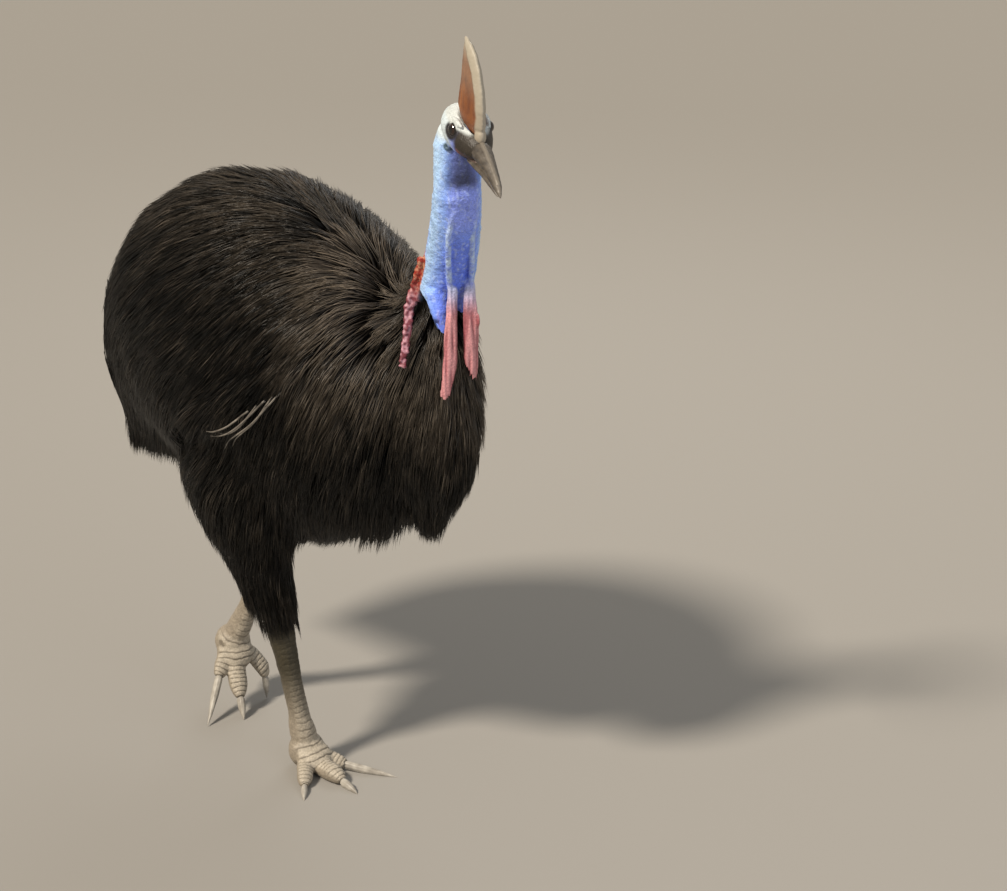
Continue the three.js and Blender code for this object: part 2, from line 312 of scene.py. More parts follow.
# Places on the neck and head, in the bird's frame
THROAT_RIDGE_RIGHT = [
    [545, -96, 1215], [529, -97, 1165], [512, -91, 1122], [494, -73, 1070], [474, -50, 1024], [479, -53, 985]
]
THROAT_RIDGE_LEFT = [
    [552, -62, 1212], [542, -57, 1165], [530, -53, 1118], [513, -36, 1068], [494, -19, 1022], [496, -20, 985]
]
NAPE_RIGHT = [
    [421, -58, 1056], [409, -55, 1030], [395, -54, 998], [391, -63, 962], [401, -81, 918], [403, -92, 874]
]
NAPE_LEFT = [
    [410, 34, 1056], [400, 38, 1030], [387, 40, 998], [384, 50, 962], [392, 66, 918], [394, 78, 874]
]
LOBE_RIGHT = [[440, -46, 1004], [455, -52, 968], [466, -54, 936]]
LOBE_MIDDLE = [[450, -14, 1004], [457, -8, 978], [460, -4, 960]]
WATTLE_RIGHT = [[470, -42, 1026], [481, -54, 955], [484, -66, 800]]
WATTLE_LEFT = [[485, -17, 1032], [494, -20, 965], [496, -25, 815]]
NECK_MIDDLE = [[352, 0, 915], [400, -2, 966], [432, -13, 1022], [463, -31, 1075]]
NECK_BASE = np.array([415.0, -5.0, 1015.0])
EAR = np.array([-37.0, 26.0, -30.0])
GAPE = np.array([10.0, 26.0, -17.0])
BILL_ROOT = np.array([56.0, 0.0, -9.0])

# Places on the legs, and how far each foot tips forward and turns, in degrees
ANKLES = {"right": [58, -88, 322], "left": [-92, 68, 388]}
KNUCKLES = {"right": [95, -55, 34], "left": [-222, 45, 126]}
FOOT_PITCH = {"right": 24, "left": 53}
FOOT_HEADING = {"right": -6, "left": -26}
SHANK_TOP_RADIUS = 29.0


def wattle_gaps(points):
    """Distance from the middle line of the right and of the left wattle."""
    return near_line(points, WATTLE_RIGHT)[0], near_line(points, WATTLE_LEFT)[0]


def cord_gaps(points):
    """Distance from the nearer cord of the nape."""
    return np.minimum(near_line(points, NAPE_RIGHT)[0], near_line(points, NAPE_LEFT)[0])


def bare(points):
    """1 where the skin is bare, 0 where feathers grow; it runs down the throat to two points."""
    ahead = (points - [440, -20, 0]) @ unit(np.array([0.92, -0.38, 0.0]))
    edge = np.clip(985 - 1.5 * (ahead + 1.6), 958, 1060)
    open_skin = smooth(points[:, 2], edge - 3, edge + 3) * smooth(points[:, 0], 330, 370)
    for line, width in ((LOBE_RIGHT, 17), (LOBE_MIDDLE, 13)):
        gap, share = near_line(points, line)
        open_skin = np.maximum(open_skin, smooth(gap / (width * (1.25 - 0.9 * share)), 1.25, 0.95))
    return open_skin


# The coat grows from a skin that lies inside the outline by the coat's depth
class Shell:
    """The coat's outer surface: how far outside it a place is, and which way is out, from a grid."""

    def __init__(self, points, faces):
        """Fills the grid from the nearest face at each of its places."""
        tree = BVHTree.FromPolygons(points.tolist(), faces.tolist())
        self.low = points.min(0) - SHELL_MARGIN
        self.counts = np.ceil((points.max(0) + SHELL_MARGIN - self.low) / SHELL_PITCH).astype(int) + 1
        grid = np.stack(np.meshgrid(*[np.arange(n) for n in self.counts], indexing="ij"), -1).reshape(-1, 3)
        out = np.empty(len(grid))
        for i, place in enumerate(grid * SHELL_PITCH + self.low):
            spot, facing, _, gap = tree.find_nearest(place)
            out[i] = gap if (Vector(place) - spot).dot(facing) > 0 else -gap
        self.out = out.reshape(self.counts)
        self.slope = np.stack(np.gradient(self.out, SHELL_PITCH), -1)

    def sample(self, field, points):
        """The field's values at those places, blended from the corners of each cell."""
        spot = np.clip((points - self.low) / SHELL_PITCH, 0, np.array(self.counts) - 1.001)
        cell = spot.astype(int)
        share = spot - cell
        total = 0
        for corner in np.ndindex(2, 2, 2):
            weight = np.prod(np.where(corner, share, 1 - share), axis=1)
            value = field[tuple((cell + corner).T)]
            total = total + (value * weight[:, None] if value.ndim == 2 else value * weight)
        return total

    def outside(self, points):
        """How far outside the surface each place is, less than 0 inside it."""
        return self.sample(self.out, points)

    def facing(self, points):
        """The way out of the surface."""
        return unit(self.sample(self.slope, points))

    def sunk(self, points, depth):
        """Places moved in by that depth, or less where the form is too thin for it."""
        for _ in range(SINK_ROUNDS):
            left = np.clip(depth + self.outside(points), -SINK_STEP, SINK_STEP)
            points = points - self.sample(self.slope, points) * left[:, None]
        return points


def coat_depth(points):
    """How deep the skin lies under the feather tips."""
    neck = smooth(points[:, 2], 900, 1010) * smooth(points[:, 0], 300, 360)
    ankle = smooth(points[:, 2], 520, 400)
    tail = smooth(points[:, 0], -320, -390)
    return COAT_DEPTH * (1 - 0.68 * neck) * (1 - 0.62 * ankle) * (1 - 0.7 * tail)


def lie(points, facing):
    """The way the feathers lie: back over the top, down all sides, and out from the neck's base."""
    x, _, z = points.T
    rear = smooth(x, 260, -120)
    low = smooth(z, 640, 500)
    front = smooth(x, 300, 390)
    back = -0.42 - 0.5 * rear + 0.15 * front
    back = back * (1 - 0.55 * low)
    down = -0.85 - 0.25 * smooth(x, -150, -380) - 0.3 * low
    away = np.stack([back, 0 * x, down], 1)
    spread = points - NECK_BASE
    reach = lengths_of(spread)
    near = np.exp(-((reach / 260) ** 2))[:, None]
    way = away * (1 - near) + unit(spread) * near * 1.2
    way[:, 0] += 0.12 * grain(points, 90, seed=3.1)
    way[:, 2] += 0.2 * grain(points, 70, seed=8.7)
    way -= facing * (way * facing).sum(1, keepdims=True)
    return unit(way)


def strand_length(points):
    """Length of the feathers in millimetres: short on the neck and lower legs, long on the rump."""
    x, _, z = points.T
    rump = smooth(x, 50, -330)
    neck = smooth(z, 880, 1020) * smooth(x, 280, 350)
    thigh = smooth(z, 640, 430)
    return (BODY_STRAND + RUMP_STRAND_MORE * rump) * (1 - 0.62 * neck) * (1 - 0.3 * thigh)


def hem(points):
    """1 at the ragged lower edges of rump and breast, where feathers hang free, and the edge's height."""
    x, _, z = points.T
    rump = smooth(x, -150, -250) * smooth(z, RUMP_HEM + 100, RUMP_HEM + 20)
    breast = smooth(x, 215, 310) * smooth(z, BREAST_HEM + 100, BREAST_HEM + 30)
    return np.maximum(rump, breast), np.where(x < 0, RUMP_HEM, BREAST_HEM)


def round_ankles(places, ways):
    """Near each ankle the feathers leave the thigh and hang down round the top of the shank."""
    loose = np.zeros(len(places))
    for side in ("left", "right"):
        ankle = np.array(ANKLES[side], float)
        down = unit(np.array(KNUCKLES[side]) - ankle)
        near = smooth(lengths_of(places - ankle), 120, 75)
        along = (places - ankle) @ down
        from_axis = places - ankle - along[:, None] * down
        inside = SHANK_TOP_RADIUS - lengths_of(from_axis)
        outward = unit(from_axis) * smooth(inside, -8, 12)[:, None]
        ways = unit(ways * (1 - near)[:, None] + (down + 0.5 * outward) * near[:, None])
        loose = np.maximum(loose, near)
    return ways, loose


def lock_paths(shell, roots):
    """The middle line of each lock, marched over the coat from the skin up to the surface."""
    # Near a hem a lock is only as long as it takes to hang a ragged fringe below the edge
    depth = coat_depth(roots)
    length = strand_length(roots) * rng.uniform(0.8, 1.15, len(roots))
    at_edge, edge = hem(roots - np.array([0, 0, 60]))
    fringe = HEM_FRINGE * np.interp(roots[:, 0], [200, 220, 300, 335], [1.0, 1.9, 1.9, 0.15])
    reach_below = np.maximum(roots[:, 2] - edge, 0) * 1.05 + fringe * rng.uniform(0.2, 1.2, len(roots))
    length = np.where(at_edge > 0.05, np.minimum(length, np.maximum(reach_below, 45)), length)
    # Each step follows the lie, sags with its weight, and is drawn to its level between skin and surface
    top = -9.0 * rng.uniform(0, 1, len(roots)) ** 2
    hang = 0.1 + 0.45 * smooth(roots[:, 0], -180, -340) + 0.25 * smooth(roots[:, 2], 640, 560)
    hang += 0.3 * smooth(roots[:, 0], 300, 350) * smooth(roots[:, 2], 680, 600)
    places = [roots]
    place = roots
    for step in range(1, STEPS + 1):
        out = shell.facing(place)
        beneath = smooth(out[:, 2], 0.15, -0.45)
        drop = np.array([0, 0, -1.0]) * ((hang + 0.6 * beneath) * step / STEPS)[:, None]
        way, loose = round_ankles(place, unit(lie(place, out) + drop))
        fringe = hem(place)[0]
        way = unit(way * (1 - fringe)[:, None] + HANGING * fringe[:, None])
        loose = np.maximum(loose, 0.85 * fringe)
        move = place + way * (length / STEPS)[:, None]
        share = (step / STEPS) ** 0.75
        aim = -depth * (1 - share) + top * share
        now = shell.outside(move)
        pull = -0.22 * (1 - 0.85 * beneath) * length / STEPS
        nudge = np.clip(aim - now, pull, 0.5 * length / STEPS) * (1 - loose)
        free = 6 + 20 * beneath + 90 * loose
        nudge = np.where(now + nudge > free, free - now, nudge)
        place = move + shell.facing(move) * nudge[:, None]
        places.append(place)
    return np.stack(places, 1)


def unwrapped(points):
    """A place on the coat's map: the trunk, the neck and each thigh unrolled flat, side by side."""
    x, y, z = points.T
    trunk = np.stack([np.arctan2(y, z - 790) / (2 * np.pi) + 0.5, 0.02 + 0.56 * (x + 420) / 880], 1)
    thigh_side = np.where(y > 0, 1.0, 0.0)
    turn = np.arctan2(x + 10, np.abs(y) - 115) / (2 * np.pi) + 0.5
    thigh = np.stack([(0.02 + 0.96 * turn) / 2 + thigh_side / 2, 0.61 + 0.16 * (z - 320) / 220], 1)
    round_neck = np.arctan2(y + 10, x - 385) / (2 * np.pi) + 0.5
    neck = np.stack([round_neck, 0.8 + 0.18 * (z - 540) / 560], 1)
    on_thigh = (z < 520) & (x < 200)
    on_neck = x > 335
    spot = np.where(on_thigh[:, None], thigh, np.where(on_neck[:, None], neck, trunk))
    return np.clip(spot, 0.002, 0.995)


def region(points, facing):
    """The part of the coat that each root belongs to."""
    x, y, z = points.T
    names = np.where(y > 0, "flank_left", "flank_right")
    names = np.where(facing[:, 2] > 0.62, "back", names)
    names = np.where(x < -215, "rump", names)
    names = np.where(x > 335, "breast", names)
    names = np.where((x > 320) & (z > 965), "neck", names)
    on_thigh = (z < 540) & (x < 250)
    return np.where(on_thigh, np.where(y > 0, "thigh_left", "thigh_right"), names)


def strand_mesh(name, middles, sides, tops, widths, roots, tone):
    """Joins tapered strands: rings of two edges and a crest, capped at the root, pointed at the tip."""
    count, rings = middles.shape[0], middles.shape[1] - 1
    half = sides[:, :rings] * widths[:, :rings, None] / 2
    crest = tops[:, :rings] * widths[:, :rings, None] * 0.45
    body = np.stack([middles[:, :rings] - half, middles[:, :rings] + half, middles[:, :rings] + crest], 2)
    points = np.concatenate([body.reshape(count, -1, 3), middles[:, -1:]], 1)
    each = rings * 3 + 1
    pattern = [(0, 2, 1)]
    for ring in range(rings - 1):
        for a, b in ((0, 1), (1, 2), (2, 0)):
            low, high = ring * 3, ring * 3 + 3
            pattern += [(low + a, low + b, high + b), (low + a, high + b, high + a)]
    last = rings * 3 - 3
    pattern += [(last, last + 1, each - 1), (last + 1, last + 2, each - 1), (last + 2, last, each - 1)]
    first = np.arange(count) * each
    corners = (np.array(pattern) + first[:, None, None]).ravel().astype(np.int32)
    mesh = bpy.data.meshes.new(name)
    mesh.vertices.add(count * each)
    mesh.vertices.foreach_set("co", packed(points.reshape(-1, 3)).astype(np.float32).ravel())
    mesh.loops.add(len(corners))
    mesh.loops.foreach_set("vertex_index", corners)
    mesh.polygons.add(len(corners) // 3)
    mesh.polygons.foreach_set("loop_start", np.arange(0, len(corners), 3, dtype=np.int32))
    mesh.polygons.foreach_set("use_smooth", np.ones(len(corners) // 3, bool))
    mesh.update(calc_edges=True)
    reach = np.append(np.repeat(np.arange(rings) / rings, 3), 1.0)
    across = np.append(np.tile([0.0, 1.0, 0.5], rings), 0.5)
    patch = unwrapped(roots)[:, None] + np.stack([reach, across], 1)[None] * UV_PATCH
    set_values(mesh, "reach", np.tile(reach, count))
    set_values(mesh, "tone", np.repeat(tone, each))
    uv_map = mesh.uv_layers.new(name="OFBake")
    uv_map.data.foreach_set("uv", patch.reshape(-1, 2)[corners].astype(np.float32).ravel())
    made = link_object(name, mesh)
    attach(made, "root")
    return made


def lock_roots(shell, points, faces):
    """Where the locks grow on the skin, denser on neck, thighs and hems, and which way is out there."""
    corners = points[faces]
    middle = corners.mean(1)
    diagonals = np.cross(corners[:, 2] - corners[:, 0], corners[:, 3] - corners[:, 1])
    area = lengths_of(diagonals) / 2
    thick = 1 + 1.1 * smooth(middle[:, 2], 900, 990) * smooth(middle[:, 0], 300, 350)
    thick += 0.5 * smooth(middle[:, 2], 560, 450) + 1.2 * hem(middle)[0]
    weight = area * thick * (1 - bare(middle)) * smooth(cord_gaps(middle), 7, 12)
    picked = rng.choice(len(faces), LOCKS, p=weight / weight.sum())
    shares = rng.dirichlet(np.ones(4), LOCKS)
    skin = (corners[picked] * shares[..., None]).sum(1)
    return shell.sunk(skin, coat_depth(skin)), shell.facing(skin)


def bleaching_and_painted_sheen(roots, out):
    """How far the feathers are lightened: more on the back, where the coat faces up, by real sun-bleaching
    and painted sheen, and most on the shoulder, where a painted highlight adds to the bleaching.
    """
    shoulder = smooth(roots[:, 0], 190, 310) * smooth(roots[:, 2], 730, 880)
    return 0.02 + 0.24 * smooth(out[:, 2], 0.35, 0.95) + 0.66 * shoulder


def make_coat(shell, points, faces, finish):
    """Locks of strands over the whole plumed skin, in pieces by region."""
    skin, out = lock_roots(shell, points, faces)
    paths = lock_paths(shell, skin)
    flat = paths.reshape(-1, 3)
    tops = shell.facing(flat).reshape(paths.shape)
    ways = unit(np.gradient(paths, axis=1))
    tops = unit(tops - ways * (tops * ways).sum(2, keepdims=True))
    sides = np.cross(tops, ways)
    names = region(skin, out)

    # The strands of a lock start apart and gather towards its tip
    lock = np.repeat(np.arange(LOCKS), STRANDS_IN_LOCK)
    total = len(lock)
    scale = (strand_length(skin) / BODY_STRAND)[lock]
    gather = rng.uniform(0.1, 0.75, LOCKS)[lock][:, None]
    across = rng.normal(0, LOCK_SPREAD, total) * np.sqrt(scale)
    through = rng.normal(0, LOCK_THICKNESS, total) * scale
    reach = rng.uniform(0.7, 1.0, total)
    share = np.linspace(0, 1, STRAND_RINGS)
    spots = reach[:, None] * share * STEPS
    low = np.minimum(spots.astype(int), STEPS - 1)
    part = (spots - low)[..., None]
    index = lock[:, None]
    middles, strand_sides, strand_tops = (
        field[index, low] * (1 - part) + field[index, low + 1] * part for field in (paths, sides, tops)
    )
    # Each strays and sways a little, and rolls about its own line
    stray = rng.normal(0, 3.5, total)[:, None] * share ** 2
    sway = rng.normal(0, 1.6, total)[:, None]
    stray += sway * np.sin(share * 2 * np.pi + rng.uniform(0, 6, total)[:, None])
    middles = middles + strand_sides * (across[:, None] * (1 - gather * share) + stray)[..., None]
    middles = middles + strand_tops * (through[:, None] * (1 - 0.6 * share))[..., None]
    roll = rng.normal(0, 0.35, total)[:, None, None]
    turned = strand_sides * np.cos(roll) + strand_tops * np.sin(roll)
    raised = strand_tops * np.cos(roll) - strand_sides * np.sin(roll)
    widths = (rng.uniform(*STRAND_WIDTH, total) * np.clip(scale, 0.6, 1.2))[:, None] * (1 - 0.5 * share ** 2)
    # each strand's tone holds random differences, real sun-bleaching, painted sheen and a painted highlight
    # on the shoulder
    tone = bleaching_and_painted_sheen(skin, out)[lock] + 0.15 * rng.normal(size=LOCKS)[lock] + 0.14 * rng.normal(size=total)
    tone = np.clip(tone, 0, 1)
    for name in sorted(set(names)):
        chosen = np.flatnonzero(names[lock] == name)
        parts = math.ceil(len(chosen) / PIECE_STRANDS)
        for number, some in enumerate(np.array_split(chosen, parts)):
            label = f"coat_{name}" if parts == 1 else f"coat_{name}_{number + 1}"
            made = strand_mesh(
                label, middles[some], turned[some], raised[some], widths[some], skin[lock[some]], tone[some]
            )
            made.data.materials.append(finish)


# Materials
def add(tree, kind, inputs=None, **settings):
    """Adds a node, sets its properties, and fills its inputs with values or with other nodes' outputs."""
    made = tree.nodes.new(kind)
    for name, value in settings.items():
        setattr(made, name, value)
    for socket, value in (inputs or {}).items():
        if isinstance(value, bpy.types.NodeSocket):
            tree.links.new(value, made.inputs[socket])
        else:
            made.inputs[socket].default_value = value
    return made


def material(name):
    """An empty node material and its shader."""
    made = bpy.data.materials.new(name)
    made.use_nodes = True
    return made, made.node_tree, made.node_tree.nodes["Principled BSDF"]


def ramp_stops(node, stops):
    """Sets a colour ramp's stops from positions and their colour codes."""
    elements = node.color_ramp.elements
    while len(elements) < len(stops):
        elements.new(0.5)
    for element, (position, code) in zip(elements, stops.items()):
        element.position = position
        element.color = rgba(code)


def barbless_feather():
    """Feather without hooked barbs: it hangs like coarse glossy black hair, brown where sun-bleached and
    where a sheen and the shoulder's highlight are painted in.
    """
    made, tree, shader = material("barbless_feather")
    tone = add(tree, "ShaderNodeAttribute", attribute_name="tone").outputs["Fac"]
    reach = add(tree, "ShaderNodeAttribute", attribute_name="reach").outputs["Fac"]
    shades = {"Factor": tone, "A": rgba("#030302"), "B": rgba("#1f1b17")}
    body = add(tree, "ShaderNodeMix", shades, data_type="RGBA").outputs["Result"]
    # tips lighten with wear, by the tone, which also carries the painted sheen and shoulder highlight
    worn = add(tree, "ShaderNodeMath", {0: reach, 1: 2.0}, operation="POWER").outputs[0]
    light = add(tree, "ShaderNodeMath", {0: worn, 1: tone}, operation="MULTIPLY").outputs[0]
    shades = {"Factor": light, "A": body, "B": rgba("#82776a")}
    tips = add(tree, "ShaderNodeMix", shades, data_type="RGBA").outputs["Result"]
    tree.links.new(tips, shader.inputs["Base Color"])
    shader.inputs["Roughness"].default_value = 0.38
    shader.inputs["Specular IOR Level"].default_value = 0.3
    return made


def bare_skin(name, pebble, wrinkle, depth, roughness):
    """Bare bird skin: small soft pebbles over fine wrinkles, with painted shade in the grooves, and a slight
    shine.
    """
    made, tree, shader = material(name)
    tint = add(tree, "ShaderNodeAttribute", attribute_name="tint").outputs["Color"]
    place = add(tree, "ShaderNodeTexCoord").outputs["Object"]
    pebbled = {"Vector": place, "Scale": 1000 / pebble}
    pebbles = add(tree, "ShaderNodeTexVoronoi", pebbled).outputs["Distance"]
    folded = {"Vector": place, "Scale": 1000 / wrinkle, "Detail": 5.0}
    folds = add(tree, "ShaderNodeTexNoise", folded).outputs["Fac"]
    relief = {0: pebbles, 1: -0.6, 2: folds}
    height = add(tree, "ShaderNodeMath", relief, operation="MULTIPLY_ADD").outputs[0]
    bump = add(tree, "ShaderNodeBump", {"Height": height, "Strength": 0.7, "Distance": depth / 1000})
    patched = {"Vector": place, "Scale": 70.0, "Detail": 4.0}
    patches = add(tree, "ShaderNodeTexNoise", patched).outputs["Fac"]
    shade = add(tree, "ShaderNodeMapRange", {"Value": patches, "To Min": 0.74, "To Max": 1.3}).outputs[0]
    # painted shade: the colour darkens away from each pebble's middle, into the grooves
    between = {"Value": pebbles, "From Max": 0.8, "To Min": 1.12, "To Max": 0.78}
    painted_groove_shade = add(tree, "ShaderNodeMapRange", between).outputs[0]
    both = add(tree, "ShaderNodeMath", {0: shade, 1: painted_groove_shade}, operation="MULTIPLY").outputs[0]
    colour = add(tree, "ShaderNodeVectorMath", {0: tint, "Scale": both}, operation="SCALE")
    tree.links.new(colour.outputs[0], shader.inputs["Base Color"])
    tree.links.new(bump.outputs[0], shader.inputs["Normal"])
    shader.inputs["Roughness"].default_value = roughness
    return made


def horn(name, dark, pale, streak, roughness, ridge_pale=None):
    """Keratin horn: fine streaks along its growth, worn satin, and paler where the ridge value is high."""
    made, tree, shader = material(name)
    place = add(tree, "ShaderNodeTexCoord").outputs["Object"]
    axes = add(tree, "ShaderNodeMapping", {"Vector": place, "Scale": streak}).outputs[0]
    streaked = {"Vector": axes, "Scale": 1.0, "Detail": 6.0}
    streaks = add(tree, "ShaderNodeTexNoise", streaked).outputs["Fac"]
    patched = {"Vector": place, "Scale": 45.0, "Detail": 4.0}
    patches = add(tree, "ShaderNodeTexNoise", patched).outputs["Fac"]
    spread = add(tree, "ShaderNodeMath", {0: streaks, 1: patches}, operation="ADD").outputs[0]
    amount = add(tree, "ShaderNodeMapRange", {"Value": spread, "From Min": 0.65, "From Max": 1.35})
    shades = {"Factor": amount.outputs[0], "A": rgba(dark), "B": rgba(pale)}
    colour = add(tree, "ShaderNodeMix", shades, data_type="RGBA").outputs["Result"]
    if ridge_pale:
        ridge = add(tree, "ShaderNodeAttribute", attribute_name="ridge").outputs["Fac"]
        shades = {"Factor": ridge, "A": colour, "B": rgba(ridge_pale)}
        colour = add(tree, "ShaderNodeMix", shades, data_type="RGBA").outputs["Result"]
    bump = add(tree, "ShaderNodeBump", {"Height": spread, "Strength": 0.5, "Distance": 0.0008})
    tree.links.new(colour, shader.inputs["Base Color"])
    tree.links.new(bump.outputs[0], shader.inputs["Normal"])
    shader.inputs["Roughness"].default_value = roughness
    return made


def wet_eye():
    """Eye under a wet clear cornea, which gives it a bright glint: black pupil, brown iris, dark rim."""
    made, tree, shader = material("wet_eye")
    gaze = add(tree, "ShaderNodeAttribute", attribute_name="gaze").outputs["Fac"]
    rings = add(tree, "ShaderNodeValToRGB", {"Fac": gaze})
    stops = {0.0: "#0c0807", 0.4: "#120a07", 0.5: "#2c170c", 0.72: "#1d0f08", 0.78: "#040303"}
    ramp_stops(rings, stops)
    tree.links.new(rings.outputs["Color"], shader.inputs["Base Color"])
    shader.inputs["Roughness"].default_value = 0.06
    shader.inputs["IOR"].default_value = 1.38
    shader.inputs["Coat Weight"].default_value = 1.0
    return made


# Skin
def eyelids(side):
    """Two lids and a brow round one eye, in the head's frame."""
    out = unit(np.array([0.12, side * 0.97, 0.2]))
    ahead = unit(np.array([1.0, -side * 0.12, -0.08]))
    up = np.cross(ahead, out) * side
    centre = EYE_IN_HEAD * [1, -side, 1]
    forms = []
    for first, last, width, lift in ((-0.15, 3.3, 2.6, 4.8), (3.1, 6.4, 2.2, 4.2)):
        rings = []
        for angle in np.linspace(first, last, 12):
            reach = 12.4 * (np.cos(angle) * ahead * 1.06 + np.sin(angle) * up * 0.86)
            spot = centre + reach + out * lift
            thick = width * (0.65 + 0.5 * abs(math.sin(angle)))
            rings.append([*from_head(spot[None])[0], thick, thick, *(out @ HEAD_AXES)])
        forms.append(loft(rings, around=12, along=36))
    brow = centre + up * 14.5 + out * 3.5 + ahead * 2
    axes = np.array([ahead, out, up]) @ HEAD_AXES
    forms.append(ball(from_head(brow[None])[0], [20, 4.5, 4.5], axes))
    return forms


def rope(line, size, seed):
    """Knobbly cord of bare skin: lumps of uneven size to both sides of a line."""
    line = np.array(line, float)
    lengths = np.append(0, np.cumsum(lengths_of(np.diff(line, axis=0))))
    forms = []
    chance = np.random.default_rng(seed)
    for number, run in enumerate(np.arange(0, lengths[-1], size * 0.5)):
        spot = np.array([np.interp(run, lengths, line[:, k]) for k in range(3)])
        fade = 1 - 0.35 * (run / lengths[-1]) ** 3
        lump = size * chance.uniform(0.7, 1.15, 3) * fade
        apart = (0.7 if number % 2 else -0.7) * size * fade
        shift = chance.normal(0, 0.22, 3) * size + apart * np.array([0.73, 0.68, 0.0])
        forms.append(ball(spot + shift, lump, np.eye(3), around=10, along=8))
    return forms


def tube(line, thick):
    """A soft round ridge along a line."""
    rings = [[*p, thick * w, thick * w, 0.3, 1.0, 0.0] for p, w in zip(line, (0.4, 0.8, 1.0, 1.0, 1.0, 0.7))]
    return loft(rings, around=14, along=50)


def head_colour(points):
    """Colours of the bare head and neck, with painted shadow under the jaw and painted shade in the neck's
    creases.
    """
    x, y, z = in_head(points).T
    side = np.abs(y)
    height = points[:, 2]
    levels = [1000, 1130, 1240, 1300]
    axis = [np.interp(height, levels, [420, 491, 520, 527]), np.interp(height, levels, [-6, -53, -78, -86])]
    front = unit(points[:, :2] - np.stack(axis, 1)) @ unit(np.array([0.9, -0.42]))
    between = smooth(front, 0.68, 0.93)
    flecks = smooth(grain(points, 5.5, (1, 1, 1.5), 12.0), 0.1, 0.55)
    # painted shade: thin dark blue lines stand in for the shade in the neck skin's creases
    painted_crease_shade = smooth(np.abs(grain(points, 13, (1.2, 1.2, 0.8), 5.0)), 0.06, 0.01)
    right_gap, right_share = near_line(points, THROAT_RIDGE_RIGHT)
    left_gap, left_share = near_line(points, THROAT_RIDGE_LEFT)
    # painted shadow: the throat under the jaw is coloured near black where the bill's shade falls
    painted_shadow_under_jaw = smooth(z, -27, -38) * smooth(x, -42, -18) * smooth(height, 1198, 1220)
    crown = smooth(x, 6, -22) * smooth(z, -33, -14)
    face = smooth(x, -4, 12) * smooth(z, -34, -22)
    jaw = smooth(np.abs(z + 13 + 0.12 * (x - 10)), 5, 2) * smooth(x, 2, 12) * face
    eye_gap = np.hypot(x - EYE_IN_HEAD[0], (z - EYE_IN_HEAD[2]) * 1.15)
    brow = smooth(z, 17, 23) * smooth(x, 36, 24)
    ear_gap = np.hypot(x - EAR[0], z - EAR[2])
    gape_gap = np.hypot(x - GAPE[0], z - GAPE[2])
    nape = smooth(front, -0.25, -0.75) * smooth(height, 1120, 1070)
    tint = plain("#86aaff", points)
    for code, mask in (
        ("#c0e0ff", smooth(height, 1165, 1270) * smooth(front, 0.75, -0.1)),
        ("#b4d8ff", 0.85 * smooth(front, 0.85, 0.3) * smooth(front, -0.7, 0.0)),
        ("#8c9cf8", 0.85 * between * smooth(height, 1090, 1150)),
        ("#6580f5", 0.85 * between * smooth(height, 1150, 1090)),
        ("#cfe2fa", 0.32 * flecks),
        ("#3c4aa8", 0.35 * painted_crease_shade),
        ("#d6ecf2", 0.85 * smooth(right_gap, 6, 3) * smooth(right_share, 0.15, 0.5)),
        ("#d6ecf2", 0.85 * smooth(left_gap, 6, 3) * smooth(left_share, 0.15, 0.5)),
        ("#0c0e20", 0.95 * painted_shadow_under_jaw),
        ("#cddbe2", crown),
        ("#322c25", face),
        ("#6b544e", 0.6 * jaw),
        ("#1d1a1e", smooth(eye_gap, 24, 15) * smooth(side, 12, 20)),
        ("#cbd2d2", brow),
        ("#31473f", 0.85 * smooth(ear_gap, 9, 5) * smooth(side, 12, 18)),
        ("#8d5348", 0.7 * smooth(gape_gap, 9, 3) * smooth(side, 12, 18)),
        ("#c2462e", nape),
    ):
        tint = blend(tint, code, mask)
    knobs = smooth(grain(points, 6, seed=2.5), -0.25, 0.45)
    upper = blend(plain("#962c20", points), "#c98d70", knobs)
    lower = blend(plain("#74333f", points), "#b98794", knobs)
    for line in (NAPE_RIGHT, NAPE_LEFT):
        gap, share = near_line(points, line)
        tint = mixed(tint, mixed(upper, lower, smooth(share, 0.15, 0.45)), smooth(gap, 15, 12))
    return tint


def wattle_share(points):
    """How much a place belongs to the wattles."""
    gap = np.minimum(*wattle_gaps(points))
    off_neck = smooth(near_line(points, NECK_MIDDLE)[0], 45, 52)
    lobe, share = near_line(points, LOBE_RIGHT)
    clear = smooth(lobe, 19 - 14 * share, 25 - 14 * share)
    lobe, share = near_line(points, LOBE_MIDDLE)
    clear = clear * smooth(lobe, 17 - 13 * share, 22 - 13 * share)
    clear = np.maximum(clear, smooth(gap, 12, 9))
    return smooth(gap, 26, 21) * off_neck * smooth(points[:, 2], 1034, 1010) * clear


def wattle_colour(points, facing, pleats):
    """Colours of the wattles: pink with painted shade in the pleats, painted dark red shade on the faces
    that turn to each other, pale blue at the top.
    """
    # painted shade: the pink turns darker where the pleats sink in
    tint = blend(plain("#cf8f92", points), "#9a5259", 0.75 * smooth(pleats, 0.15, -0.35))
    # painted shade: the faces of the two wattles that turn towards each other are coloured dark red
    toward_left = facing @ unit(np.array([0.36, 0.93, 0.0]))
    right_gap, left_gap = wattle_gaps(points)
    inner = np.where(right_gap < left_gap, toward_left, -0.6 * toward_left)
    tint = blend(tint, "#7f2a34", 0.8 * smooth(inner, 0.1, 0.75))
    return blend(tint, "#bccbf2", 0.85 * smooth(points[:, 2], 965, 1022))


